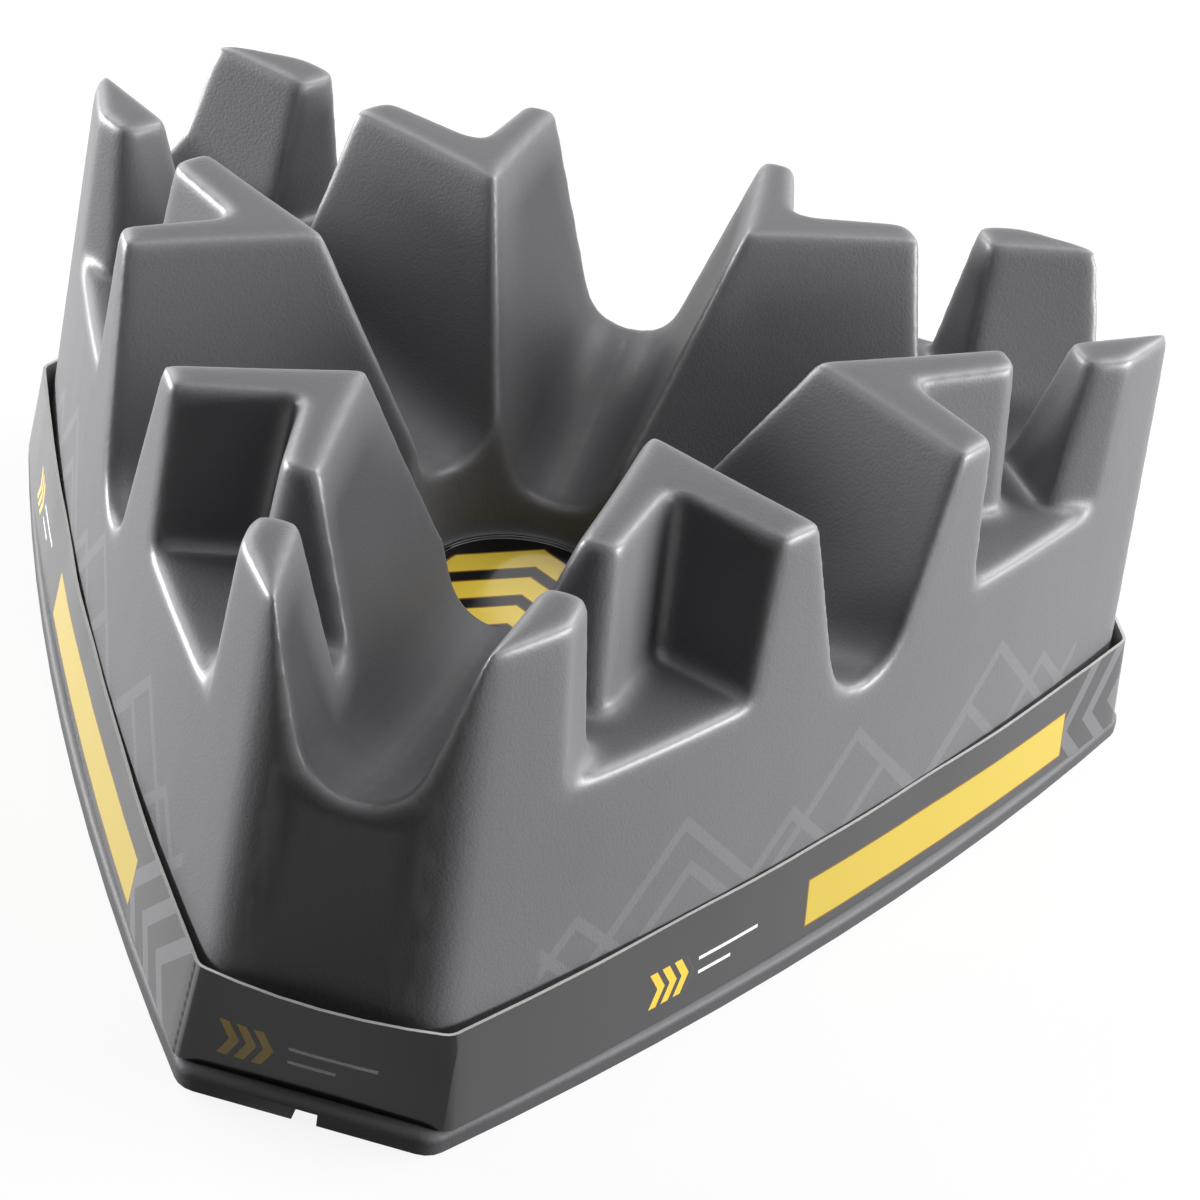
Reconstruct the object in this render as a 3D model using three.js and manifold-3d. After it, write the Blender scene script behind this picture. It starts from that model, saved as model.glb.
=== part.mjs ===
// Front wheel riser block for a bike trainer.
// A hollow moulded block stands on its rim under the front wheel. Three tyre grooves cross over
// its centre at three heights, so turning the block by a third of a turn changes the wheel's height.
// A printed band sits loosely round its foot, and a round badge lies in the middle.
// Millimetres, +Z up. The origin is on the floor under the middle of the block's bounding box.

import * as THREE from 'three';
import { mergeVertices } from 'three/addons/utils/BufferGeometryUtils.js';
import Module from 'manifold-3d';

// Overall block
const blockHeight = 120.6;
const wallThickness = 3;
const wallDraftShare = 0.077; // how far a wall leans in for each millimetre that it rises
const sideCount = 3;
const thirdOfTurn = 2 * Math.PI / sideCount;

// Plan of the rim on the floor: three long bowed sides and three short cut-off corners
const rimSideReach = 114.8; // centre to the middle of a long side
const cornerWidth = 56.5; // across a cut-off corner
const sideBowRadius = 1060;
const firstSideFacing = THREE.MathUtils.degToRad(-30); // the side to the right of the near corner
const wallSoftness = 5.5; // how far the rounding of an upright edge reaches on either side
const rimSoftness = 2.5;
const gentleTurn = THREE.MathUtils.degToRad(18); // smaller turns of an outline aren't rounded
const sideSteps = 12;
const cornerSteps = 3;

// Foot: a narrow ledge round the walls with a rim turned down to the floor
const ledgeHeight = 5.2;
const ledgeWidth = 4.2;
const ledgeRound = 1.8;
const ledgeRoundSteps = 3;
const ventWidth = 5.6; // small gap in the rim at each cut-off corner
const ventHeight = 3.2;

// Tyre grooves: each is the space that a wheel's rim and tyre need
const wheelRadius = 342;
const grooveRootRadius = 13.4;
const grooveFlankAngle = THREE.MathUtils.degToRad(17.3); // flank from the wheel's own plane
const grooveRootHeights = [42.5, 53.4, 45.7]; // near corner, left-back corner, right-back corner
const grooveBearings = [-90, 150, 30].map(THREE.MathUtils.degToRad);
const wheelSegments = 180;
const rootSteps = 10;

// Islands and corner posts at the top face, in the sector to the right of the near corner.
// An offset is measured across from the corner groove's middle line, a reach along it.
const sectorMiddle = THREE.MathUtils.degToRad(-60);
const islandRootReach = 84.1; // centre to where an island's two arms meet, on the sector's middle line
const armTipOffset = 37;
const postInset = 43.7; // from the rim's corner in to a post's inner corner
const postInnerOffset = 36.2;
const postDepth = 13.9; // along the groove, from a post's inner corner out to the wall
const postEdgeOffset = 34.8;
const neckWidth = 18.5; // way through from a pocket to the groove, between an arm's tip and a post
const pocketFloorHeight = 80.4;
const pocketDraftShare = 0.1;
const pocketSoftness = 3.5; // rounding of the upright edges of pockets, arms and posts

// Badge in its round recess at the centre
const recessFloorHeight = 32.6;
const recessDraftShare = 0.1;
const badgeRadius = 27.2;
const badgeClearance = 0.8;
const recessRadius = badgeRadius + badgeClearance;
const badgeThickness = 1.2;
const badgeRimWidth = 1.6;
const badgeRimRise = 0.7;
const roundSegments = 64;

// Printed band: its sides are straighter than the walls, so it stands off them at the folds
const bandHeight = 25;
const bandThickness = 0.8;
const bandBowRadius = 1400;
const bandSideGap = 0.5; // from the wall to the band's upper edge at the middle of a side
const bandCornerGap = 0.4; // from the wall of a cut-off corner to the band at its folds
const bandBulge = 3; // how far the upper edge bows out between the two folds of a cut-off corner
const bulgeSteps = 6;
const bandFlare = 1.3; // how much further out the lower edge stands along a side
const bandFoldSoftness = 2;
const seatGap = 0.3; // clearance that keeps separate pieces apart

// Sizes that follow from the ones above
const towardsCorner = Math.cos(thirdOfTurn / 2);
const pastCorner = Math.sin(thirdOfTurn / 2);
const rimHalfSpan = halfSpanTo(cornerWidth / 2);
const rimCornerReach = towardsCorner * (rimSideReach - bowFall(rimHalfSpan, sideBowRadius))
  + pastCorner * rimHalfSpan; // centre to a cut-off corner
const postReach = rimCornerReach - postInset;
const postEdgeReach = postReach + postDepth;
const armTipReach = postReach - neckWidth;

const wasm = await Module();
wasm.setup();

// How far a bowed side has fallen back at a distance from its middle
function bowFall(run, bowRadius) {
  return run * run / (2 * bowRadius);
}

// Half the length of a side that ends half a corner's width from the corner's middle line
function halfSpanTo(halfWidth) {
  const reach = 2 * pastCorner * (pastCorner * rimSideReach - halfWidth) / sideBowRadius;
  return (Math.sqrt(towardsCorner * towardsCorner + reach) - towardsCorner) * sideBowRadius / pastCorner;
}

function solidOf(geometry) {
  const bare = geometry.clone();
  bare.deleteAttribute('normal');
  bare.deleteAttribute('uv');
  const merged = mergeVertices(bare);
  return new wasm.Manifold(new wasm.Mesh({
    numProp: 3,
    vertProperties: new Float32Array(merged.attributes.position.array),
    triVerts: new Uint32Array(merged.index.array),
  }));
}

function geometryOf(solid) {
  const mesh = solid.getMesh();
  const geometry = new THREE.BufferGeometry();
  geometry.setAttribute('position', new THREE.BufferAttribute(mesh.vertProperties, 3));
  geometry.setIndex(new THREE.BufferAttribute(mesh.triVerts, 1));
  geometry.computeVertexNormals();
  return geometry;
}

// Moves each side of a closed anticlockwise outline outwards by one distance
function offsetOutline(points, distance) {
  return points.map((point, index) => {
    const before = points[(index + points.length - 1) % points.length];
    const after = points[(index + 1) % points.length];
    const along = point.clone().sub(before).normalize();
    const onward = after.clone().sub(point).normalize();
    const normal = new THREE.Vector2(along.y + onward.y, -along.x - onward.x);
    const reach = 2 * distance / normal.lengthSq();
    return point.clone().addScaledVector(normal, reach);
  });
}

// A solid that runs straight from a lower outline to an upper one with the same number of points
function loft(lower, upper, bottom, top) {
  const geometry = new THREE.ExtrudeGeometry(new THREE.Shape(upper), {
    depth: top - bottom,
    bevelEnabled: false,
  });
  const position = geometry.attributes.position;
  for (let i = 0; i < position.count; i += 1) {
    if (position.getZ(i) === 0) {
      const here = new THREE.Vector2(position.getX(i), position.getY(i));
      const distances = upper.map((point) => point.distanceTo(here));
      const match = lower[distances.indexOf(Math.min(...distances))];
      position.setXY(i, match.x, match.y);
    }
  }
  geometry.translate(0, 0, bottom);
  return solidOf(geometry);
}

// Closed outline: for each third of a turn, a cut-off corner and the bowed side after it
function bowedOutline(sideReach, cornerReach, bowRadius) {
  const points = [];
  const beyond = 2 * towardsCorner * (cornerReach - towardsCorner * sideReach) / bowRadius;
  const halfSpan = bowRadius * (pastCorner - Math.sqrt(pastCorner * pastCorner - beyond)) / towardsCorner;
  for (let side = 0; side < sideCount; side += 1) {
    for (let step = 0; step <= sideSteps; step += 1) {
      const run = halfSpan * (2 * step / sideSteps - 1);
      const point = new THREE.Vector2(sideReach - bowFall(run, bowRadius), run);
      points.push(point.rotateAround(new THREE.Vector2(), firstSideFacing + side * thirdOfTurn));
    }
  }
  return points;
}

function rimOutline() {
  return bowedOutline(rimSideReach, rimCornerReach, sideBowRadius);
}

// Rounds the sharp turns of an outline
function softened(points, softness) {
  return points.flatMap((point, index) => {
    const before = points[(index + points.length - 1) % points.length];
    const after = points[(index + 1) % points.length];
    const back = before.clone().sub(point).normalize();
    const on = after.clone().sub(point).normalize();
    if (Math.PI - Math.acos(back.dot(on)) < gentleTurn) {
      return [point];
    }
    const start = point.clone().addScaledVector(back, softness);
    const end = point.clone().addScaledVector(on, softness);
    return new THREE.QuadraticBezierCurve(start, point, end).getPoints(cornerSteps);
  });
}

// How far the walls stand inside the rim's outline at a height
function wallInset(height) {
  return ledgeWidth + (height - ledgeHeight) * wallDraftShare;
}

// Plan of the walls at a height, moved in or out by a further distance
function wallOutline(height, further) {
  return softened(offsetOutline(rimOutline(), further - wallInset(height)), wallSoftness);
}

function wallLoft(bottom, top, further) {
  return loft(wallOutline(bottom, further), wallOutline(top, further), bottom, top);
}

// The ledge's plate, rounded along its upper edge; it reaches below the floor and is trimmed later
function ledgePlate() {
  const outline = softened(offsetOutline(rimOutline(), -ledgeRound), rimSoftness);
  const geometry = new THREE.ExtrudeGeometry(new THREE.Shape(outline), {
    depth: ledgeHeight,
    bevelThickness: ledgeRound,
    bevelSize: ledgeRound,
    bevelSegments: ledgeRoundSteps,
  });
  geometry.translate(0, 0, -ledgeRound);
  return solidOf(geometry);
}

// The ring swept by a turning wheel: a rounded root with a straight flank on either side
function tyreSpace(index, grow) {
  const rootCentre = wheelRadius - grooveRootRadius;
  const radius = grooveRootRadius + grow;
  const spread = Math.PI / 2 - grooveFlankAngle;
  const section = [];
  for (let step = 0; step <= rootSteps; step += 1) {
    const turn = spread * (2 * step / rootSteps - 1);
    section.push(new THREE.Vector2(rootCentre + radius * Math.cos(turn), radius * Math.sin(turn)));
  }
  const flank = new THREE.Vector2(-Math.cos(grooveFlankAngle), Math.sin(grooveFlankAngle));
  const last = section[rootSteps].clone().addScaledVector(flank, blockHeight);
  section.push(last);
  section.unshift(new THREE.Vector2(last.x, -last.y));
  section.push(section[0].clone());
  const geometry = new THREE.LatheGeometry(section, wheelSegments);
  geometry.rotateZ(grooveBearings[index]);
  geometry.translate(0, 0, grooveRootHeights[index] + wheelRadius);
  return solidOf(geometry);
}

// Mirror image of a plan point across the middle line of the sector between corner and side
function acrossSector(point) {
  const double = 2 * sectorMiddle;
  return new THREE.Vector2(
    point.x * Math.cos(double) + point.y * Math.sin(double),
    point.x * Math.sin(double) - point.y * Math.cos(double),
  );
}

// Plan of a pocket at the top face: the space between an island's two arms and a corner post,
// with the narrow way through to the corner's groove, and open past the wall
function pocketOutline() {
  const tip = new THREE.Vector2(armTipOffset, -armTipReach);
  const inner = new THREE.Vector2(islandRootReach, 0).rotateAround(new THREE.Vector2(), sectorMiddle);
  const sideTip = acrossSector(tip);
  const sideArm = sideTip.clone().sub(inner).normalize();
  const beyond = inner.clone().addScaledVector(sideArm, rimSideReach);
  const postInner = new THREE.Vector2(postInnerOffset, -postReach);
  const postEdge = new THREE.Vector2(postEdgeOffset, -postEdgeReach);
  const postFace = postEdge.clone().sub(postInner).normalize();
  return [
    inner,
    tip,
    new THREE.Vector2(0, -armTipReach),
    new THREE.Vector2(0, -postReach),
    postInner,
    postInner.clone().addScaledVector(postFace, rimCornerReach - postReach),
    new THREE.Vector2(beyond.x, -rimCornerReach),
    beyond,
  ];
}

// One pocket, drafted so that it narrows downwards; turned to its corner and mirrored on one side
function pocketSpace(corner, mirrored, grow) {
  const outline = pocketOutline();
  const bottom = pocketFloorHeight - grow;
  const top = blockHeight + wallThickness;
  const above = (top - blockHeight) * pocketDraftShare;
  const below = (blockHeight - bottom) * pocketDraftShare;
  const lower = softened(offsetOutline(outline, grow - below), pocketSoftness);
  const upper = softened(offsetOutline(outline, grow + above), pocketSoftness);
  const space = loft(lower, upper, bottom, top);
  const turned = mirrored ? space.mirror([1, 0, 0]) : space;
  return turned.rotate([0, 0, corner * 360 / sideCount]);
}

// The round recess that holds the badge, widening upwards
function badgeRecess(grow) {
  const bottom = recessFloorHeight - grow;
  const top = pocketFloorHeight;
  const floorRadius = recessRadius + grow;
  const topRadius = floorRadius + (top - bottom) * recessDraftShare;
  const geometry = new THREE.CylinderGeometry(topRadius, floorRadius, top - bottom, roundSegments);
  geometry.rotateX(Math.PI / 2);
  geometry.translate(0, 0, (top + bottom) / 2);
  return solidOf(geometry);
}

// Everything that is cut from above; the hollow uses the same cuts, grown by the wall's thickness
function cutsFromAbove(grow) {
  const cuts = grooveBearings.map((bearing, index) => tyreSpace(index, grow));
  for (let corner = 0; corner < sideCount; corner += 1) {
    cuts.push(pocketSpace(corner, false, grow), pocketSpace(corner, true, grow));
  }
  cuts.push(badgeRecess(grow));
  return wasm.Manifold.union(cuts);
}

// The space inside the walls and under the ledge, open at the floor
function hollow() {
  const walls = wallLoft(-wallThickness, blockHeight - wallThickness, -wallThickness);
  const underRim = softened(offsetOutline(rimOutline(), -wallThickness), rimSoftness);
  const underLedge = loft(underRim, underRim, -wallThickness, ledgeHeight - wallThickness);
  return walls.subtract(cutsFromAbove(wallThickness)).add(underLedge);
}

// Gap through the rim at the middle of a cut-off corner
function rimVent(corner) {
  const geometry = new THREE.BoxGeometry(ventWidth, 2 * wallThickness + ledgeWidth, 2 * ventHeight);
  geometry.translate(0, -rimCornerReach + wallThickness, 0);
  geometry.rotateZ(corner * thirdOfTurn);
  return solidOf(geometry);
}

// Slab under the floor that trims what reaches below it
function belowFloor() {
  const size = 2 * (rimCornerReach + rimSideReach);
  const geometry = new THREE.BoxGeometry(size, size, ledgeHeight + ledgeRound);
  geometry.translate(0, 0, -(ledgeHeight + ledgeRound) / 2);
  return solidOf(geometry);
}

function riserBlock() {
  let block = wallLoft(-wallThickness, blockHeight, 0).add(ledgePlate());
  block = block.subtract(cutsFromAbove(0)).subtract(hollow()).subtract(belowFloor());
  for (let corner = 0; corner < sideCount; corner += 1) {
    block = block.subtract(rimVent(corner));
  }
  return block;
}

// Round badge with a raised rim
function centreBadge() {
  const inner = badgeRadius - badgeRimWidth;
  const top = badgeThickness + badgeRimRise;
  const section = [
    new THREE.Vector2(0, 0),
    new THREE.Vector2(badgeRadius, 0),
    new THREE.Vector2(badgeRadius, badgeThickness),
    new THREE.Vector2(badgeRadius - badgeRimWidth / 4, top),
    new THREE.Vector2(inner + badgeRimWidth / 4, top),
    new THREE.Vector2(inner, badgeThickness),
    new THREE.Vector2(0, badgeThickness),
  ];
  const geometry = new THREE.LatheGeometry(section, roundSegments);
  geometry.rotateX(Math.PI / 2);
  geometry.translate(0, 0, recessFloorHeight + seatGap);
  return solidOf(geometry);
}

// Bows each cut-off corner of an outline outwards by a distance at its middle
function bulged(points, bulge) {
  return points.flatMap((point, index) => {
    if ((index + 1) % (sideSteps + 1) > 0) {
      return [point];
    }
    const next = points[(index + 1) % points.length];
    const outwards = new THREE.Vector2(next.y - point.y, point.x - next.x).normalize();
    const pull = point.clone().lerp(next, 1 / 2).addScaledVector(outwards, 2 * bulge);
    return new THREE.QuadraticBezierCurve(point, pull, next).getPoints(bulgeSteps).slice(0, -1);
  });
}

// Plan of the band's inside at a height, moved out by a further distance
function bandOutline(height, further) {
  const rise = (height - ledgeHeight) / bandHeight;
  const sideReach = rimSideReach - wallInset(height) + bandSideGap + bandFlare * (1 - rise);
  const cornerReach = rimCornerReach - wallInset(height) + bandCornerGap;
  const outline = bulged(bowedOutline(sideReach, cornerReach, bandBowRadius), bandBulge * rise);
  return softened(offsetOutline(outline, further), bandFoldSoftness);
}

// Loose printed band, standing on the ledge and open above and below
function printedBand() {
  const bottom = ledgeHeight + seatGap;
  const top = bottom + bandHeight;
  const under = bottom - bandThickness;
  const over = top + bandThickness;
  const inside = loft(bandOutline(under, 0), bandOutline(over, 0), under, over);
  const outside = loft(bandOutline(bottom, bandThickness), bandOutline(top, bandThickness), bottom, top);
  return outside.subtract(inside);
}

function material(color, roughness, metalness) {
  return new THREE.MeshStandardMaterial({ color, roughness, metalness });
}

const pebbledPlastic = material(0x3c3d40, 0.55, 0);
const badgeBlack = material(0x121214, 0.18, 0);
const bandPrint = material(0x191a1c, 0.25, 0);

const group = new THREE.Group();
// The centre of the three grooves lies behind the middle of the bounding box
group.position.y = (rimCornerReach - rimSideReach) / 2;

function addPiece(name, solid, finish) {
  const mesh = new THREE.Mesh(geometryOf(solid), finish);
  mesh.name = name;
  group.add(mesh);
}

addPiece('riser_block', riserBlock(), pebbledPlastic);
addPiece('centre_badge', centreBadge(), badgeBlack);
addPiece('printed_band', printedBand(), bandPrint);

export default group;
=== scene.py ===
"""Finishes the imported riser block: its pebbled shell, its badge and its printed card band."""

import math

import bmesh
import bpy
from mathutils import Euler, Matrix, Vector


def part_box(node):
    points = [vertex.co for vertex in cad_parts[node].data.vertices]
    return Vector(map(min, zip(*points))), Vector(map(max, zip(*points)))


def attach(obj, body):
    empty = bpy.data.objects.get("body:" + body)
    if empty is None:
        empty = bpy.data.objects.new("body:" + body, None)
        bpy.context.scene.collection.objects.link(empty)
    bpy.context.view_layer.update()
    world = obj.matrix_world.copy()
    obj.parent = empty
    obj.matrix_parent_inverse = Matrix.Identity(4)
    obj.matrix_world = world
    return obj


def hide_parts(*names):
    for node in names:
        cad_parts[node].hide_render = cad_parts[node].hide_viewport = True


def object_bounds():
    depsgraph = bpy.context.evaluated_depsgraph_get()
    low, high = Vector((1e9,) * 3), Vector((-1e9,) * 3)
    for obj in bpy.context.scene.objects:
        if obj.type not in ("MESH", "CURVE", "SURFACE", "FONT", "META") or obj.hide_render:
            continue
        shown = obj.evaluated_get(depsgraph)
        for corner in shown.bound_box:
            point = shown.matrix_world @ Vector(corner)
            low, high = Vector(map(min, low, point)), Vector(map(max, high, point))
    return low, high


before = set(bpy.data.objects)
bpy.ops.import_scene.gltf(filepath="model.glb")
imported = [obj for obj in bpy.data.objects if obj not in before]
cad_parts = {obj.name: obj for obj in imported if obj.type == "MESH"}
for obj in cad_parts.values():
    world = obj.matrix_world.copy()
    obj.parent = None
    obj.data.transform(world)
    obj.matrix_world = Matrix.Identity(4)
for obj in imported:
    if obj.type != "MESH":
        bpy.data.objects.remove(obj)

bl_info = {
    "name": "Wheel riser block",
    "version": (1, 0, 0),
    "blender": (4, 5, 0),
    "location": "3D View > Sidebar > Riser block",
    "description": "Finishes a hollow moulded riser block, its badge and its printed band",
    "category": "Add Mesh",
}

CAD_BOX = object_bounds()
SHELL_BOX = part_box("riser_block")
BADGE_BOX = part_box("centre_badge")
BAND_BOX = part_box("printed_band")
BADGE_CENTRE = (BADGE_BOX[0] + BADGE_BOX[1]) / 2
# The three grooves cross over the badge, and the plan repeats about it by thirds of a turn.
# These are the ways that its long sides and its cut-off corners face, in degrees.
SIDE_FACINGS = {"right": -30, "back": 90, "left": 210}
CORNER_FACINGS = {"near": -90, "right_back": 30, "left_back": 150}
# Corners nearer than this are one corner
MERGE_DISTANCE = 1e-6


# Properties that a user may change


def length(name, words, default):
    """A length in metres."""
    return bpy.props.FloatProperty(name=name, description=words, default=default, unit="LENGTH",
                                   precision=4)


def share(name, words, default):
    """A share from 0 to 1."""
    return bpy.props.FloatProperty(name=name, description=words, default=default, min=0.0, max=1.0,
                                   subtype="FACTOR")


def number(name, words, default):
    """A whole number."""
    return bpy.props.IntProperty(name=name, description=words, default=default)


def turn(name, words, degrees):
    """An angle."""
    return bpy.props.FloatProperty(name=name, description=words, default=math.radians(degrees),
                                   unit="ROTATION")


def colour(name, words, default):
    """A linear colour."""
    return bpy.props.FloatVectorProperty(name=name, description=words, default=default, size=3,
                                         min=0.0, max=1.0, subtype="COLOR")


# Shader nodes


# Rays that show the white surroundings. All others only bring light to the object.
WHITE_RAYS = ("Is Camera Ray", "Is Glossy Ray", "Is Transmission Ray")


class Value:
    """A shader socket. Python's operators on it add Math nodes to its tree."""

    def __init__(self, nodes, socket):
        self.nodes = nodes
        self.socket = socket

    def math(self, operation, *values):
        """A Math node on these values."""
        sockets = dict(enumerate(values))
        return self.nodes.node("ShaderNodeMath", {"operation": operation}, sockets)

    def __add__(self, other):
        return self.math("ADD", self, other)

    __radd__ = __add__

    def __sub__(self, other):
        return self.math("SUBTRACT", self, other)

    def __rsub__(self, other):
        return self.math("SUBTRACT", other, self)

    def __mul__(self, other):
        return self.math("MULTIPLY", self, other)

    __rmul__ = __mul__

    def __truediv__(self, other):
        return self.math("DIVIDE", self, other)

    def __rtruediv__(self, other):
        return self.math("DIVIDE", other, self)

    def __pow__(self, other):
        return self.math("POWER", self, other)

    def __abs__(self):
        return self.math("ABSOLUTE", self)

    def at_least(self, other):
        """The larger of two values."""
        return self.math("MAXIMUM", self, other)

    def at_most(self, other):
        """The smaller of two values."""
        return self.math("MINIMUM", self, other)

    def wrapped(self, pitch):
        """The value's place in a row that repeats."""
        return self.math("FLOORED_MODULO", self, pitch)

    def over(self, level, softness):
        """0 below a level and 1 above it, with a soft step."""
        step = (self - (level - softness / 2)) / softness
        return step.at_least(0.0).at_most(1.0)

    def under(self, level, softness):
        """1 below a level and 0 above it, with a soft step."""
        return 1 - self.over(level, softness)

    def between(self, low, high, softness):
        """1 between two levels and 0 outside them, with soft steps."""
        return self.over(low, softness) * self.under(high, softness)


class Nodes:
    """A node tree, filled from empty."""

    def __init__(self, tree):
        self.tree = tree
        self.tree.nodes.clear()

    def node(self, kind, settings=None, sockets=None, output=0):
        """Adds a node: its settings first, then the values or links of its sockets."""
        made = self.tree.nodes.new(kind)
        for name, value in (settings or {}).items():
            setattr(made, name, value)
        for name, value in (sockets or {}).items():
            if isinstance(value, Value):
                self.tree.links.new(value.socket, made.inputs[name])
            else:
                made.inputs[name].default_value = value
        return Value(self, made.outputs[output]) if made.outputs else None

    def white_seen(self):
        """1 for a ray that shows the white surroundings, and 0 for any other."""
        outputs = self.node("ShaderNodeLightPath").socket.node.outputs
        camera, glossy, through = (Value(self, outputs[name]) for name in WHITE_RAYS)
        return camera.at_least(glossy).at_least(through)


class Finish(Nodes):
    """A material and its node tree."""

    def __init__(self, name):
        self.material = bpy.data.materials.new(name)
        self.material.use_nodes = True
        super().__init__(self.material.node_tree)

    def place(self):
        """The point on the piece, in metres."""
        return self.node("ShaderNodeTexCoord", output="Object")

    def seen_from(self, facing):
        """Run along a side, distance out of the badge's middle, and height over the floor."""
        moved = self.node("ShaderNodeVectorMath", {"operation": "SUBTRACT"},
                          {0: self.place(), 1: BADGE_CENTRE})
        turned = self.node("ShaderNodeVectorRotate", {"rotation_type": "Z_AXIS"},
                           {"Vector": moved, "Angle": math.radians(-90 - facing)})
        split = self.node("ShaderNodeSeparateXYZ", sockets={"Vector": turned})
        outputs = split.socket.node.outputs
        run, out, height = (Value(self, outputs[axis]) for axis in "XYZ")
        return run, out * -1, height + BADGE_CENTRE.z

    def noise(self, vector, scale, detail=2.0, roughness=0.5):
        """Soft noise from 0 to 1."""
        return self.node("ShaderNodeTexNoise", {"noise_dimensions": "3D"},
                         {"Vector": vector, "Scale": scale, "Detail": detail, "Roughness": roughness})

    def blend(self, factor, first, second):
        """A mix of two colours, each a linked value or three numbers."""
        first, second = (part if isinstance(part, Value) else (*part, 1.0)
                         for part in (first, second))
        return self.node("ShaderNodeMix", {"data_type": "RGBA"}, {0: factor, 6: first, 7: second},
                         output=2)

    def bump(self, height, strength, distance):
        """A normal bent by a height from 0 to 1, worth a distance in metres."""
        sockets = {"Height": height, "Strength": strength, "Distance": distance}
        return self.node("ShaderNodeBump", sockets=sockets)

    def surface(self, sockets):
        """The Principled shader, joined to the output."""
        fixed = {name: (*value, 1.0) if isinstance(value, tuple) else value
                 for name, value in sockets.items()}
        shader = self.node("ShaderNodeBsdfPrincipled", sockets=fixed)
        self.node("ShaderNodeOutputMaterial", sockets={"Surface": shader})
        return self.material


def toned(shade, tone):
    """A colour made darker or paler."""
    return tuple(part * tone for part in shade)


# Mesh helpers


def add_object(name, mesh):
    """A new object at the origin that holds a mesh."""
    piece = bpy.data.objects.new(name, mesh)
    bpy.context.scene.collection.objects.link(piece)
    return piece


def merged_copy(node):
    """A bmesh of a CAD node with its loose triangles joined."""
    shape = bmesh.new()
    shape.from_mesh(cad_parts[node].data)
    bmesh.ops.remove_doubles(shape, verts=shape.verts, dist=MERGE_DISTANCE)
    return shape


def to_mesh(shape, name):
    """The mesh of a bmesh, shaded smooth."""
    mesh = bpy.data.meshes.new(name)
    shape.to_mesh(mesh)
    shape.free()
    mesh.polygons.foreach_set("use_smooth", [True] * len(mesh.polygons))
    return mesh


def cut_level(shape, height, **cleared):
    """Cuts a bmesh at a height and drops the part below or above it."""
    bmesh.ops.bisect_plane(shape, geom=shape.verts[:] + shape.edges[:] + shape.faces[:],
                           dist=MERGE_DISTANCE, plane_co=(0.0, 0.0, height),
                           plane_no=(0.0, 0.0, 1.0), **cleared)


def add_modifier(piece, kind, **settings):
    """A modifier with its settings."""
    modifier = piece.modifiers.new(kind.lower(), kind)
    for name, value in settings.items():
        setattr(modifier, name, value)


def apply_modifiers(piece):
    """Replaces a piece's mesh by what its modifiers make of it."""
    graph = bpy.context.evaluated_depsgraph_get()
    made = bpy.data.meshes.new_from_object(piece.evaluated_get(graph), depsgraph=graph)
    before = piece.data
    piece.modifiers.clear()
    piece.data = made
    bpy.data.meshes.remove(before)
    made.polygons.foreach_set("use_smooth", [True] * len(made.polygons))


def hand_over(piece, body, slot, *nodes):
    """Seats a finished piece on its body, in the place of its CAD nodes."""
    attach(piece, body)
    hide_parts(*nodes)


# Shell


class ShellSizes(bpy.types.PropertyGroup):
    voxel: length("Voxel", "Grid on which the upper part's surface is rebuilt", 0.0009)
    soft_passes: number("Soft passes", "Smoothing passes that round the upper edges", 72)
    foot_height: length("Foot height", "Up to here, behind the band, the foot keeps crisp edges", 0.016)
    soft_start: length("Soft start", "Height over the seam at which the rounding is full", 0.010)
    # The rounding depth gives the edge mask, along which a paler colour is painted as a highlight on
    # edges and creases
    edge_fall: length("Edge fall", "Rounding depth at which an edge counts as fully burnished", 0.0012)
    sharp_turn: turn("Sharp turn", "Turns above this stay sharp in the shading", 35)
    most_triangles: number("Most triangles", "Limit for the upper part", 185000)
    plastic: colour("Plastic", "Dark grey of the moulding", (0.178, 0.178, 0.187))
    # Painted shade: the near black that the rim's plastic turns towards
    rim_painted_shade: colour("Rim dark", "What the plastic's colour turns towards on the rim", (0.004,) * 3)
    grain: length("Grain", "Distance between the pebbles of the moulded texture", 0.0007)
    grain_depth: length("Grain depth", "Height of the pebbles", 0.0001)
    grain_strength: share("Grain strength", "How much the pebbles bend the light", 0.5)
    roughness: share("Roughness", "Roughness of the plastic", 0.5)
    sheen: share("Sheen", "Specular level of the plastic", 0.16)
    line: length("Line", "Width of the faint zigzag lines on the walls", 0.0028)
    line_foot: length("Line foot", "Lowest point of the zigzag lines", 0.026)
    line_shade: share("Line shade", "How much the zigzag lines show", 0.26)
    # Painted highlight along edges and creases, and the coat gloss there
    painted_edge_highlight: share("Edge shade", "How much the paler colour of burnished edges shows", 0.2)
    edge_gloss: share("Edge gloss", "How much the gloss of burnished edges shows", 0.7)
    edge_roughness: share("Edge roughness", "Roughness of that gloss", 0.4)
    # The rim's darker colour below this height is painted shade
    rim_height: length("Rim height", "Height of the turned-down rim, which is darker", 0.0037)
    rim_shade: share("Rim shade", "How much of the plastic's colour the rim keeps", 0.5)


# Two zigzag lines on each long wall: width of a peak, its height, and the shift along the wall
WALL_PEAKS = ((0.058, 0.030, 0.000), (0.034, 0.017, 0.021))
# The lines end this far to either side of a wall's middle, and lie only where the block
# reaches this far out
WALL_PEAKS_REACH = 0.099
WALL_OUT = 0.096
# Widths of the soft steps at a line's edges, at its ends and round the corner
LINE_EDGE = 0.0004
LINE_END_FADE = 0.002
OUT_FADE = 0.001
RIM_FADE = 0.0012
# Tones, as shares of the plain plastic
DARK_TONE = 0.72
PALE_TONE = 1.6
# Paler colour painted along edges and creases as a highlight
EDGE_HIGHLIGHT_TONE = 2.0
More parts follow.
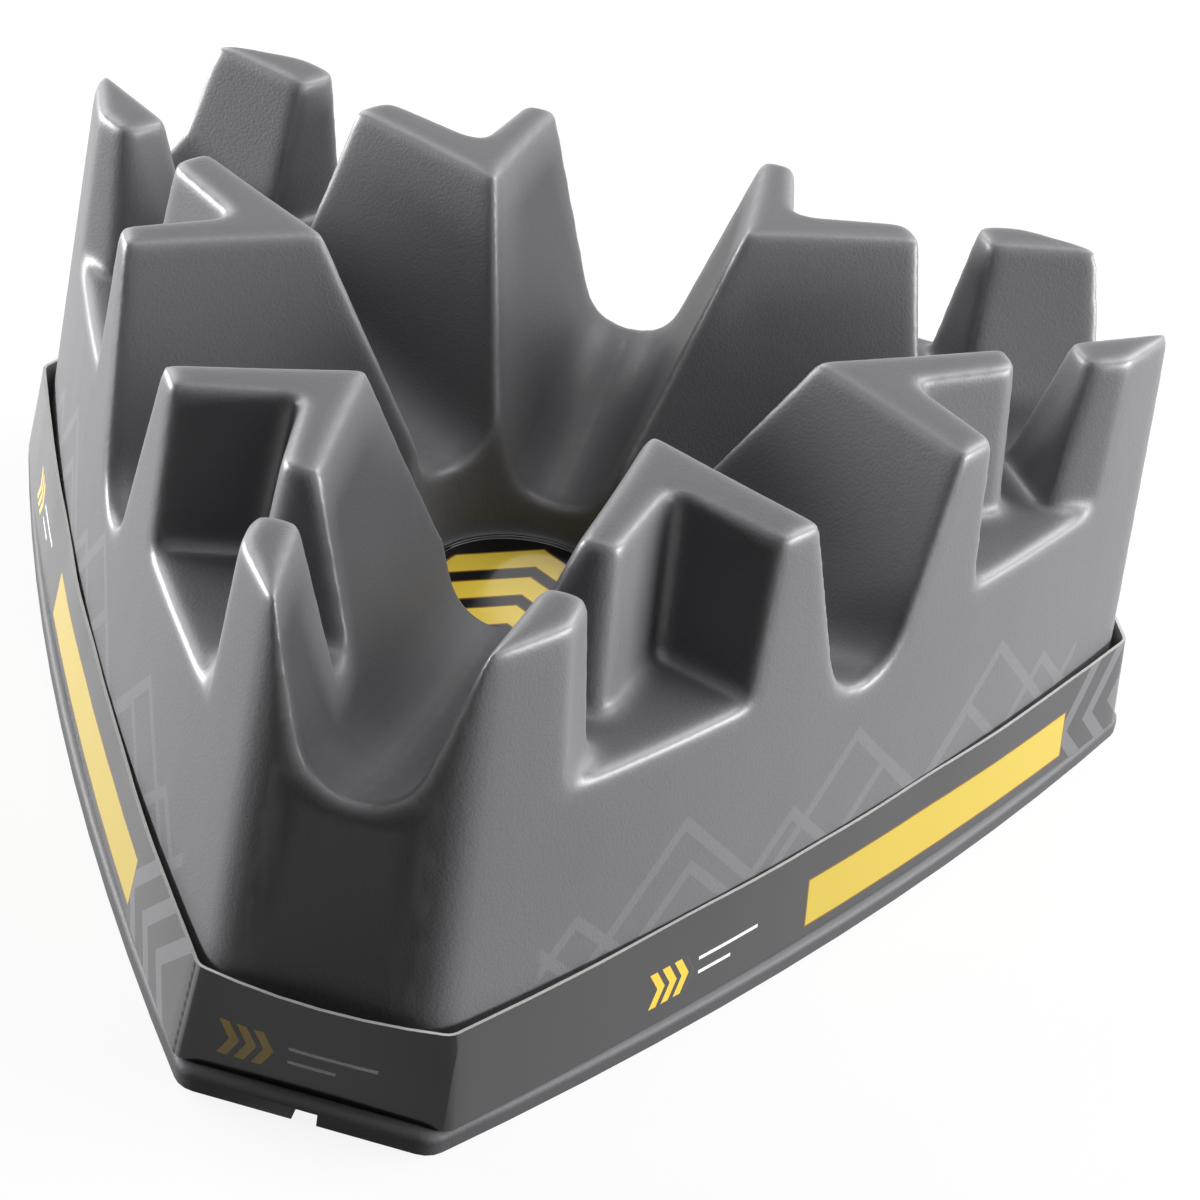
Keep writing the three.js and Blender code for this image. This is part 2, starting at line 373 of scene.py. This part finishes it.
# The mottle: what clouds and pebbles add to it, and the level and softness of its step from
# dark to plain
MOTTLE_CLOUDS = 0.14
MOTTLE_PEBBLES = 0.06
MOTTLE_MIDDLE = 0.08
MOTTLE_SOFTNESS = 0.3
CLOUD_SCALE = 22.0
# A finer noise over the pebbles: its grains to one pebble, and its share in the relief
FINE_GRAINS = 2.2
FINE_RELIEF = 0.35
# How far the roughness swings with the clouds, and how much smoother an edge or crease is
ROUGHNESS_SWING = 0.12
EDGE_SMOOTHER = 0.12
# The share of the full rounding depth at which the painted edge highlight and the gloss are half shown,
# and the softness of that step
EDGE_MIDDLE = 0.5
EDGE_SOFTNESS = 0.9
EDGE_IOR = 1.8
# Steps in which the rounding grows above the seam
SOFT_STEPS = 10


def wall_lines(finish, sizes):
    """1 on the faint zigzag lines low on the long walls, 0 elsewhere."""
    mask = 0.0
    for facing in SIDE_FACINGS.values():
        run, out, height = finish.seen_from(facing)
        drawn = 0.0
        for pitch, peak, shift in WALL_PEAKS:
            slope = 2 * peak / pitch
            reach = sizes.line / 2 * math.hypot(1.0, slope)
            ridge = sizes.line_foot + abs((run + shift).wrapped(pitch) - pitch / 2) * slope
            drawn = abs(height - ridge).under(reach, LINE_EDGE).at_least(drawn)
        inside = abs(run).under(WALL_PEAKS_REACH, LINE_END_FADE) * out.over(WALL_OUT, OUT_FADE)
        mask = drawn * inside + mask
    return mask


def pebbled_plastic(sizes):
    """Matte dark grey plastic with a fine pebbled texture, glossier on its edges and creases, with a
    paler colour painted along them as a highlight and a darker colour painted on the rim as shade.
    """
    finish = Finish("pebbled_plastic")
    place = finish.place()
    hollows = finish.node("ShaderNodeTexVoronoi", {"feature": "SMOOTH_F1"},
                          {"Vector": place, "Scale": 1 / sizes.grain, "Smoothness": 0.6})
    pebbles = 1 - hollows
    fine = finish.noise(place, FINE_GRAINS / sizes.grain, detail=1.0)
    cloud = finish.noise(place, CLOUD_SCALE, detail=3.0)
    mottle = cloud * MOTTLE_CLOUDS + pebbles * MOTTLE_PEBBLES
    mottle = mottle.over(MOTTLE_MIDDLE, MOTTLE_SOFTNESS)
    _, _, height = finish.seen_from(0)
    # Painted shade: below the rim height the plastic turns towards near black
    rim = height.under(sizes.rim_height, RIM_FADE)
    # Edges and creases, by how far the rounding moved them: where the highlight is painted
    edge = finish.node("ShaderNodeAttribute", {"attribute_name": "edge"}, output=2)
    edge = edge.over(EDGE_MIDDLE, EDGE_SOFTNESS)
    shade = finish.blend(mottle, toned(sizes.plastic, DARK_TONE), sizes.plastic)
    shade = finish.blend(wall_lines(finish, sizes) * sizes.line_shade, shade,
                         toned(sizes.plastic, PALE_TONE))
    shade = finish.blend(rim * (1 - sizes.rim_shade), shade, sizes.rim_painted_shade)
    # Painted highlight: a paler colour along edges and creases
    shade = finish.blend(edge * sizes.painted_edge_highlight, shade, toned(sizes.plastic, EDGE_HIGHLIGHT_TONE))
    roughness = (cloud - 0.5) * ROUGHNESS_SWING + sizes.roughness
    return finish.surface({
        "Base Color": shade,
        "Roughness": roughness - edge * EDGE_SMOOTHER,
        "Specular IOR Level": sizes.sheen,
        "Coat Weight": edge * sizes.edge_gloss,
        "Coat Roughness": sizes.edge_roughness,
        "Coat IOR": EDGE_IOR,
        "Normal": finish.bump(pebbles + fine * FINE_RELIEF, sizes.grain_strength, sizes.grain_depth),
    })


class RISER_OT_shell(bpy.types.Operator):
    """Rebuild the moulding with rounded edges and pebbled plastic"""

    bl_idname = "riser.shell"
    bl_label = "Moulded shell"

    def execute(self, context):
        sizes = context.scene.riser_shell
        seam = SHELL_BOX[0].z + sizes.foot_height
        upper = add_object("upper_shell", to_mesh(merged_copy("riser_block"), "upper_shell"))
        add_modifier(upper, "REMESH", mode="VOXEL", voxel_size=sizes.voxel)
        apply_modifiers(upper)
        self.soften(upper, seam, sizes)
        self.thin_out(upper, sizes)
        shape = bmesh.new()
        shape.from_mesh(upper.data)
        cut_level(shape, seam, clear_inner=True)
        foot = merged_copy("riser_block")
        cut_level(foot, seam, clear_outer=True)
        foot_mesh = to_mesh(foot, "foot")
        shape.from_mesh(foot_mesh)
        piece = add_object("moulded_shell", to_mesh(shape, "moulded_shell"))
        piece.data.set_sharp_from_angle(angle=sizes.sharp_turn)
        piece.data.materials.append(pebbled_plastic(sizes))
        bpy.data.objects.remove(upper)
        bpy.data.meshes.remove(foot_mesh)
        hand_over(piece, "block", "pebbled_plastic", "riser_block")
        return {"FINISHED"}

    def soften(self, piece, seam, sizes):
        """Rounds the edges above the seam, and notes on each vertex how far that moved it."""
        before = [vertex.co.copy() for vertex in piece.data.vertices]
        group = piece.vertex_groups.new(name="soft")
        for step in range(1, SOFT_STEPS + 1):
            low = seam + sizes.soft_start * (step - 1) / SOFT_STEPS
            high = math.inf if step == SOFT_STEPS else seam + sizes.soft_start * step / SOFT_STEPS
            inside = [index for index, place in enumerate(before) if low < place.z <= high]
            group.add(inside, step / SOFT_STEPS, "REPLACE")
        add_modifier(piece, "SMOOTH", factor=0.5, iterations=sizes.soft_passes,
                     vertex_group=group.name)
        apply_modifiers(piece)
        # The distance moved marks edges and creases, where a highlight is painted
        edge = piece.data.attributes.new("edge", "FLOAT", "POINT")
        moved = [min((vertex.co - place).length / sizes.edge_fall, 1.0)
                 for vertex, place in zip(piece.data.vertices, before)]
        edge.data.foreach_set("value", moved)

    def thin_out(self, piece, sizes):
        """Brings the mesh under its limit of triangles, and keeps it below the block's top."""
        count = sum(len(face.vertices) - 2 for face in piece.data.polygons)
        if count > sizes.most_triangles:
            add_modifier(piece, "DECIMATE", ratio=sizes.most_triangles / count)
            apply_modifiers(piece)
        for vertex in piece.data.vertices:
            vertex.co.z = min(vertex.co.z, SHELL_BOX[1].z)


# Badge


class BadgeSizes(bpy.types.PropertyGroup):
    rim_width: length("Rim width", "Width of the raised rim", 0.0016)
    rim_rise: length("Rim rise", "Height of the rim over the face", 0.0007)
    rounding: length("Rounding", "Radius along the rim's edges", 0.0003)
    stripe: length("Stripe", "Width of a printed chevron, measured down its middle", 0.0085)
    stripe_gap: length("Stripe gap", "Black between two chevrons", 0.0055)
    print_reach: length("Print reach", "Radius inside which the chevrons are printed", 0.0225)
    print_depth: length("Print depth", "Thickness of the print over the ground", 0.00003)
    outline: length("Outline", "Width of the brown line along the print", 0.0006)
    roughness: share("Roughness", "Least roughness of the badge", 0.07)
    sheen: share("Sheen", "Specular level of the badge", 0.4)
    black: colour("Black", "Glossy ground", (0.006, 0.006, 0.006))
    yellow: colour("Yellow", "Printed chevrons", (0.98, 0.72, 0.08))
    brown: colour("Brown", "Thin line along the print", (0.24, 0.10, 0.012))


# How much a chevron's arms drop to either side, its shift as a share of the pitch, and the
# width of the soft step at the edges of the print
BADGE_SLANT = 0.62
BADGE_SHIFT = 0.2
BADGE_PRINT_EDGE = 0.0001
# Fine noise in the gloss: its scale, and how much it adds to the roughness
SPECK_SCALE = 900.0
SPECK_ROUGHNESS = 0.08
# Steps round the badge, and segments along the rounding of its rim
BADGE_STEPS = 128
RIM_SEGMENTS = 3


def badge_print(sizes):
    """Gloss black with yellow chevrons, each edged with a thin brown line."""
    finish = Finish("badge_gloss")
    across, out, _ = finish.seen_from(CORNER_FACINGS["near"])
    reach = (across * across + out * out) ** 0.5
    pitch = sizes.stripe + sizes.stripe_gap
    phase = (abs(across) * BADGE_SLANT - out + pitch * BADGE_SHIFT).wrapped(pitch)
    off_stripe = abs(phase - pitch / 2) - sizes.stripe / 2
    off_print = off_stripe.at_least(reach - sizes.print_reach)
    inked = off_print.under(0.0, BADGE_PRINT_EDGE)
    lined = off_print.under(sizes.outline, BADGE_PRINT_EDGE)
    specks = finish.noise(finish.place(), SPECK_SCALE)
    ground = finish.blend(lined, sizes.black, sizes.brown)
    return finish.surface({
        "Base Color": finish.blend(inked, ground, sizes.yellow),
        "Roughness": specks * SPECK_ROUGHNESS + sizes.roughness,
        "Specular IOR Level": sizes.sheen,
        "Normal": finish.bump(lined, strength=0.25, distance=sizes.print_depth),
    })


class RISER_OT_badge(bpy.types.Operator):
    """Turn the round badge and print it"""

    bl_idname = "riser.badge"
    bl_label = "Centre badge"

    def execute(self, context):
        sizes = context.scene.riser_badge
        low, high = BADGE_BOX
        radius = (high.x - low.x) / 2
        face = high.z - sizes.rim_rise
        inner = radius - sizes.rim_width
        slope = sizes.rim_width / 4
        section = [
            (0.0, face), (inner, face), (inner + slope, high.z),
            (radius - slope, high.z), (radius, face), (radius, low.z), (0.0, low.z),
        ]
        shape = bmesh.new()
        points = [shape.verts.new((x, 0.0, z)) for x, z in section]
        for pair in zip(points, points[1:]):
            shape.edges.new(pair)
        bmesh.ops.bevel(shape, geom=points[1:-1], offset=sizes.rounding, segments=RIM_SEGMENTS,
                        profile=0.5, affect="VERTICES", material=-1)
        bmesh.ops.spin(shape, geom=shape.verts[:] + shape.edges[:], cent=(0.0, 0.0, 0.0),
                       axis=(0.0, 0.0, 1.0), angle=math.tau, steps=BADGE_STEPS, use_merge=True)
        bmesh.ops.remove_doubles(shape, verts=shape.verts, dist=MERGE_DISTANCE)
        bmesh.ops.recalc_face_normals(shape, faces=shape.faces)
        centre = Vector((BADGE_CENTRE.x, BADGE_CENTRE.y, 0.0))
        bmesh.ops.translate(shape, verts=shape.verts, vec=centre)
        piece = add_object("round_badge", to_mesh(shape, "round_badge"))
        piece.data.materials.append(badge_print(sizes))
        hand_over(piece, "block", "badge_gloss", "centre_badge")
        return {"FINISHED"}


# Band


class BandSizes(bpy.types.PropertyGroup):
    card: length("Card", "Thickness of the printed card", 0.0008)
    wave: length("Wave", "Unevenness of the card along its upper edge", 0.0003)
    panel_low: length("Panel low", "Lower edge of the yellow panels", 0.0085)
    panel_high: length("Panel high", "Upper edge of the yellow panels", 0.0212)
    outline: length("Outline", "Width of the brown line round a panel", 0.0004)
    stroke: length("Stroke", "Width of a small yellow chevron, along the band", 0.0023)
    stroke_gap: length("Stroke gap", "Black between two small chevrons", 0.0016)
    stroke_reach: length("Stroke reach", "Half the height of a small chevron", 0.0047)
    rule: length("Rule", "Width of the white lines beside the small chevrons", 0.0009)
    dash: length("Dash", "Length of a perforation dash at the near left fold", 0.0013)
    sharp_turn: turn("Sharp turn", "Turns above this stay sharp in the shading", 35)
    ripple: length("Ripple", "Height of the film's ripples", 0.0003)
    roughness: share("Roughness", "Least roughness of the film", 0.12)
    sheen: share("Sheen", "Specular level of the film", 0.36)
    # The film's grey on the sides is partly the ink and partly a painted reflection; the deeper black
    # on the corner panels is the same ink, darker as painted shade
    film: colour("Film", "Black ink under the glossy film", (0.058, 0.058, 0.061))
    black: colour("Black", "Deeper black on the corner panels", (0.006, 0.006, 0.007))
    ghost: colour("Ghost", "Large pale chevrons at the ends of the sides", (0.14, 0.14, 0.15))
    yellow: colour("Yellow", "Printed panels", (0.58, 0.43, 0.05))
    amber: colour("Amber", "Small chevrons", (0.90, 0.58, 0.05))
    brown: colour("Brown", "Line round a panel", (0.22, 0.10, 0.015))
    white: colour("White", "Lines beside the small chevrons", (0.95, 0.95, 0.94))
    # Painted highlight: a pale strip along the near left fold
    fold_highlight: colour("Crease", "Worn ink along the near left fold", (0.22, 0.22, 0.23))
    hole: colour("Hole", "Perforation dashes beside the crease", (0.001, 0.001, 0.001))
    edge: colour("Edge", "Cut edge of the card", (0.80, 0.79, 0.76))
    inside: colour("Inside", "Inner face of the card", (0.55, 0.54, 0.52))


# Yellow panel on each side: its two ends along the side, seen from outside, in metres
PANEL_ENDS = {"right": (-0.013, 0.095), "left": (-0.037, 0.078), "back": (-0.054, 0.054)}
# The prints of a side and of a corner panel lie only where the band reaches this far out, and
# those of a corner panel this far to either side of its middle
SIDE_OUT = 0.098
CORNER_OUT = 0.159
CORNER_REACH = 0.0295
# Widths of the soft steps where a corner panel folds away, and at the edges of the print
CORNER_FADE = 0.0004
PRINT_EDGE = 0.00012
# The small chevrons: how many, their slant, and where they start, which is this far before a
# side's panel and here on a corner panel
SMALL_CHEVRONS = 3
SMALL_SLANT = 0.55
MARK_BEFORE_PANEL = 0.051
CORNER_MARK_START = -0.019
# White lines to the right of the small chevrons: end along the side, and height over their middle
RULES = ((0.033, 0.0022), (0.024, -0.0016))
# The large pale chevrons: distance after the panel, distance between two, width and slant
GHOST_AFTER_PANEL = 0.010
GHOST_PITCH = 0.013
GHOST_WIDTH = GHOST_PITCH * 0.4
GHOST_SLANT = 0.9
# The near left fold: where it starts at the band's lower edge, how far it leans per metre up,
# and how far out the band reaches there at least
FOLD_RUN = -0.0306
FOLD_LEAN = 0.10
FOLD_OUT = 0.150
# The painted highlight along the fold and the dashes beside it: from, to and softness, measured from
# the fold
CREASE_SPAN = (-0.0003, 0.0008, 0.0003)
DASH_SPAN = (-0.0011, -0.0004, 0.0002)
# Noise in the film and the card, and how much of each shows
MOTTLE_SCALE = 60.0
MOTTLE_ROUGHNESS = 0.1
RIPPLE_SCALE = 45.0
FIBRE_SCALE = 700.0
FIBRE_TONE = 0.82
FIBRE_DEPTH = 0.00008
# Roughness of bare card: its least, and what the fibres add
CARD_ROUGHNESS = 0.75
FIBRE_ROUGHNESS = 0.15
# The sheet's grid: cuts up the band, cuts along it, and the length above which an edge is cut
RISING_CUTS = 7
LEVEL_CUTS = 4
LONG_EDGE = 0.006
# A face is level when its normal is more upright than this, and an edge rises when more than
# this share of its run is upright
LEVEL_NORMAL = 0.9
RISING_SHARE = 0.5
# Waves of the loose card round the block: how many, where they start, and their share
WAVES = ((9, 1, 0.6), (16, 2, 0.4))


def small_mark(run, height, sizes):
    """Small chevrons side by side, and the white lines after them, from run 0 on."""
    pitch = sizes.stroke + sizes.stroke_gap
    row = pitch * SMALL_CHEVRONS
    point = run + abs(height) * SMALL_SLANT
    inside = abs(height).under(sizes.stroke_reach, PRINT_EDGE) * point.between(0.0, row, PRINT_EDGE)
    chevrons = point.wrapped(pitch).under(sizes.stroke, PRINT_EDGE) * inside
    lines = 0.0
    for end, middle in RULES:
        line = run.between(row + sizes.stroke_gap, end, PRINT_EDGE)
        lines = line * abs(height - middle).under(sizes.rule / 2, PRINT_EDGE) + lines
    return chevrons, lines


def perforation(run, out, height, sizes):
    """A pale strip painted as a highlight along the near left fold, and the dark dashes beside it."""
    off_fold = run - FOLD_RUN - (height - BAND_BOX[0].z) * FOLD_LEAN
    outside = out.over(FOLD_OUT, OUT_FADE)
    dashes = height.wrapped(sizes.dash * 2).under(sizes.dash, DASH_SPAN[2])
    return off_fold.between(*CREASE_SPAN) * outside, off_fold.between(*DASH_SPAN) * dashes * outside


def film_print(sizes):
    """Black film-coated print: yellow panels, small chevrons, white lines and pale chevrons."""
    finish = Finish("band_print")
    middle = (sizes.panel_low + sizes.panel_high) / 2
    panel_reach = (sizes.panel_high - sizes.panel_low) / 2
    inked = lined = marked = white = ghost = corner = 0.0
    for side, (start, end) in PANEL_ENDS.items():
        run, out, height = finish.seen_from(SIDE_FACINGS[side])
        rise = height - middle
        facing = out.over(SIDE_OUT, OUT_FADE)
        off_ends = abs(run - (start + end) / 2) - (end - start) / 2
        off_panel = off_ends.at_least(abs(rise) - panel_reach)
        chevrons, lines = small_mark(run - (start - MARK_BEFORE_PANEL), rise, sizes)
        slant = run - (end + GHOST_AFTER_PANEL) - abs(rise) * GHOST_SLANT
        shown = slant.between(-GHOST_PITCH, GHOST_PITCH * 2, PRINT_EDGE) * facing
        inked = off_panel.under(0.0, PRINT_EDGE) * facing + inked
        lined = off_panel.under(sizes.outline, PRINT_EDGE) * facing + lined
        marked = chevrons * facing + marked
        white = lines * facing + white
        ghost = slant.wrapped(GHOST_PITCH).under(GHOST_WIDTH, PRINT_EDGE) * shown + ghost
    for name, facing in CORNER_FACINGS.items():
        run, out, height = finish.seen_from(facing)
        panel = out.over(CORNER_OUT, CORNER_FADE) * abs(run).under(CORNER_REACH, PRINT_EDGE)
        chevrons, lines = small_mark(run - CORNER_MARK_START, height - middle, sizes)
        marked = chevrons * panel + marked
        white = lines * panel + white
        corner = panel + corner
        if name == "near":
            fold_highlight, holes = perforation(run, out, height, sizes)
    # The film's grey is partly a painted reflection, and the corner panels' deeper black is painted
    # shade
    shade = sizes.film
    for mask, ink in ((ghost, sizes.ghost), (corner, sizes.black), (fold_highlight, sizes.fold_highlight),
                      (holes, sizes.hole), (lined, sizes.brown), (inked, sizes.yellow),
                      (marked, sizes.amber), (white, sizes.white)):
        shade = finish.blend(mask, shade, ink)
    mottle = finish.noise(finish.place(), MOTTLE_SCALE, detail=3.0)
    ripple = finish.noise(finish.place(), RIPPLE_SCALE, detail=1.0)
    return finish.surface({
        "Base Color": shade,
        "Roughness": mottle * MOTTLE_ROUGHNESS + sizes.roughness,
        "Specular IOR Level": sizes.sheen,
        "Normal": finish.bump(ripple, strength=0.2, distance=sizes.ripple),
    })


def card_fibre(name, shade):
    """Bare card: pale, matt and slightly fibrous."""
    finish = Finish(name)
    fibres = finish.noise(finish.place(), FIBRE_SCALE, detail=4.0, roughness=0.65)
    return finish.surface({
        "Base Color": finish.blend(fibres, toned(shade, FIBRE_TONE), shade),
        "Roughness": fibres * FIBRE_ROUGHNESS + CARD_ROUGHNESS,
        "Normal": finish.bump(fibres, strength=0.4, distance=FIBRE_DEPTH),
    })


class RISER_OT_band(bpy.types.Operator):
    """Build the printed card band round the foot of the walls, from the CAD band's outer face"""

    bl_idname = "riser.band"
    bl_label = "Printed band"

    def execute(self, context):
        sizes = context.scene.riser_band
        shape = self.outer_sheet()
        self.settle(shape, sizes)
        piece = add_object("card_band", to_mesh(shape, "card_band"))
        for finish in (film_print(sizes), card_fibre("card_inside", sizes.inside),
                       card_fibre("card_edge", sizes.edge)):
            piece.data.materials.append(finish)
        add_modifier(piece, "SOLIDIFY", thickness=sizes.card, offset=-1.0, use_even_offset=True,
                     material_offset=1, material_offset_rim=2)
        apply_modifiers(piece)
        piece.data.set_sharp_from_angle(angle=sizes.sharp_turn)
        hand_over(piece, "band", "band_print", "printed_band")
        return {"FINISHED"}

    def outer_sheet(self):
        """The outer face of the CAD band, cut into a fine grid."""
        shape = merged_copy("printed_band")
        shape.normal_update()
        inner = []
        for face in shape.faces:
            outwards = face.calc_center_median() - BADGE_CENTRE
            outwards.z = 0.0
            if abs(face.normal.z) > LEVEL_NORMAL or face.normal.dot(outwards) < 0:
                inner.append(face)
        bmesh.ops.delete(shape, geom=inner, context="FACES")
        bmesh.ops.join_triangles(shape, faces=shape.faces, angle_face_threshold=0.2,
                                 angle_shape_threshold=3.0)
        rising = [edge for edge in shape.edges if self.rises(edge)]
        bmesh.ops.subdivide_edges(shape, edges=rising, cuts=RISING_CUTS, use_grid_fill=True)
        level = [edge for edge in shape.edges
                 if not self.rises(edge) and edge.calc_length() > LONG_EDGE]
        bmesh.ops.subdivide_edges(shape, edges=level, cuts=LEVEL_CUTS, use_grid_fill=True)
        return shape

    def rises(self, edge):
        """True for an edge that runs up the band."""
        run = edge.verts[1].co - edge.verts[0].co
        return abs(run.z) > RISING_SHARE * run.length

    def settle(self, shape, sizes):
        """Makes the loose card's upper part a little uneven."""
        low, high = BAND_BOX
        for vertex in shape.verts:
            rise = (vertex.co.z - low.z) / (high.z - low.z)
            plan = Vector((vertex.co.x - BADGE_CENTRE.x, vertex.co.y - BADGE_CENTRE.y, 0.0))
            turned = math.atan2(plan.y, plan.x)
            wave = sum(math.sin(turned * count + start) * part for count, start, part in WAVES)
            vertex.co += plan.normalized() * wave * sizes.wave * rise * rise


# Stage


class StageSizes(bpy.types.PropertyGroup):
    lens: bpy.props.FloatProperty(name="Lens", description="Focal length on a 36 mm sensor, in mm",
                                  default=86.07)
    camera_place: bpy.props.FloatVectorProperty(
        name="Camera place", description="Where the camera stands", subtype="TRANSLATION",
        unit="LENGTH", size=3, default=(0.105534, -0.572594, 0.438234))
    camera_turn: bpy.props.FloatVectorProperty(
        name="Camera turn", description="The camera's rotation", subtype="EULER", unit="ROTATION",
        size=3, default=tuple(math.radians(part) for part in (56.087, -8.21, 13.626)))
    nearest: length("Nearest", "Nearest distance that the camera sees", 0.01)
    floor_size: length("Floor size", "Length of the square floor", 8.0)
    floor_gap: length("Floor gap", "From the floor up to the rim, so that they share no plane", 0.0002)
    floor_lit: share("Floor lit", "Part of the floor's white that comes from the lamps", 0.12)
    ambient: share("Ambient", "Strength of the world's soft light", 0.01)
    light_distance: length("Light distance", "From the middle of the block to each lamp", 1.35)


def floor_finish(sizes):
    """Pale floor that shows white in the picture and keeps the object's shadow."""
    finish = Finish("pale_floor")
    return finish.surface({
        "Base Color": (sizes.floor_lit,) * 3,
        "Roughness": 0.9,
        "Specular IOR Level": 0.0,
        "Emission Color": (1.0, 1.0, 1.0),
        "Emission Strength": finish.white_seen() * (1 - sizes.floor_lit),
    })


class RISER_OT_stage(bpy.types.Operator):
    """Put the block on a pale floor under soft studio light, with its camera"""

    bl_idname = "riser.stage"
    bl_label = "Studio stage"

    # Name, bearing and elevation in degrees, width and height in metres, and power in watts
    LIGHTS = (
        ("right_low_softbox", 3, 7, 0.70, 0.36, 23.0),
        ("right_high_softbox", 15, 50, 0.70, 0.70, 3.9),
        ("right_back_softbox", 40, 35, 0.70, 0.70, 8.7),
        ("left_low_softbox", 172, 6, 0.70, 0.34, 30.2),
        ("left_back_softbox", 140, 35, 0.70, 0.70, 7.0),
        ("back_softbox", 90, 35, 0.70, 0.70, 1.3),
        ("top_softbox", 90, 82, 0.70, 0.70, 3.0),
    )

    def execute(self, context):
        sizes = context.scene.riser_stage
        scene = context.scene
        scene.view_settings.view_transform = "Standard"
        self.add_floor(sizes)
        self.add_world(scene, sizes)
        for light in self.LIGHTS:
            self.add_light(scene, sizes, *light)
        camera = bpy.data.objects.new("camera", bpy.data.cameras.new("camera"))
        scene.collection.objects.link(camera)
        camera.location = sizes.camera_place
        camera.rotation_euler = sizes.camera_turn
        camera.data.lens = sizes.lens
        camera.data.clip_start = sizes.nearest
        scene.camera = camera
        return {"FINISHED"}

    def add_floor(self, sizes):
        """A flat square floor under the rim."""
        shape = bmesh.new()
        bmesh.ops.create_grid(shape, x_segments=1, y_segments=1, size=sizes.floor_size / 2)
        level = Vector((0.0, 0.0, CAD_BOX[0].z - sizes.floor_gap))
        bmesh.ops.translate(shape, verts=shape.verts, vec=level)
        floor = add_object("floor", to_mesh(shape, "floor"))
        floor.data.materials.append(floor_finish(sizes))

    def add_world(self, scene, sizes):
        """Soft light from all round, and a white background."""
        world = bpy.data.worlds.new("studio")
        world.use_nodes = True
        scene.world = world
        nodes = Nodes(world.node_tree)
        strength = nodes.white_seen() * (1 - sizes.ambient) + sizes.ambient
        background = nodes.node("ShaderNodeBackground",
                                sockets={"Color": (1.0, 1.0, 1.0, 1.0), "Strength": strength})
        nodes.node("ShaderNodeOutputWorld", sockets={"Surface": background})

    def add_light(self, scene, sizes, name, bearing, elevation, width, height, power):
        """One rectangular soft light, turned towards the middle of the block."""
        data = bpy.data.lights.new(name, "AREA")
        data.shape = "RECTANGLE"
        data.size = width
        data.size_y = height
        data.energy = power
        light = bpy.data.objects.new(name, data)
        scene.collection.objects.link(light)
        towards = Vector((-1.0, 0.0, 0.0))
        towards.rotate(Euler((0.0, math.radians(-elevation), math.radians(bearing))))
        middle = (SHELL_BOX[0] + SHELL_BOX[1]) / 2
        light.location = middle - towards * sizes.light_distance
        light.rotation_euler = towards.to_track_quat("-Z", "Y").to_euler()


# Panel and main


class RISER_PT_panel(bpy.types.Panel):
    """Lists the block's pieces"""

    bl_idname = "RISER_PT_panel"
    bl_label = "Riser block"
    bl_space_type = "VIEW_3D"
    bl_region_type = "UI"
    bl_category = "Riser block"

    def draw(self, context):
        for operator in OPERATORS:
            self.layout.operator(operator.bl_idname, text=operator.bl_label)


SIZE_GROUPS = {
    "riser_shell": ShellSizes,
    "riser_badge": BadgeSizes,
    "riser_band": BandSizes,
    "riser_stage": StageSizes,
}
OPERATORS = (RISER_OT_shell, RISER_OT_badge, RISER_OT_band, RISER_OT_stage)


def register():
    for name, group in SIZE_GROUPS.items():
        bpy.utils.register_class(group)
        setattr(bpy.types.Scene, name, bpy.props.PointerProperty(type=group))
    for operator in OPERATORS:
        bpy.utils.register_class(operator)
    bpy.utils.register_class(RISER_PT_panel)


def unregister():
    bpy.utils.unregister_class(RISER_PT_panel)
    for operator in reversed(OPERATORS):
        bpy.utils.unregister_class(operator)
    for name, group in reversed(SIZE_GROUPS.items()):
        delattr(bpy.types.Scene, name)
        bpy.utils.unregister_class(group)


def main():
    """Makes the pieces and the stage."""
    register()
    bpy.ops.riser.shell()
    bpy.ops.riser.badge()
    bpy.ops.riser.band()
    bpy.ops.riser.stage()
    bpy.context.view_layer.update()


if __name__ == "__main__":
    main()
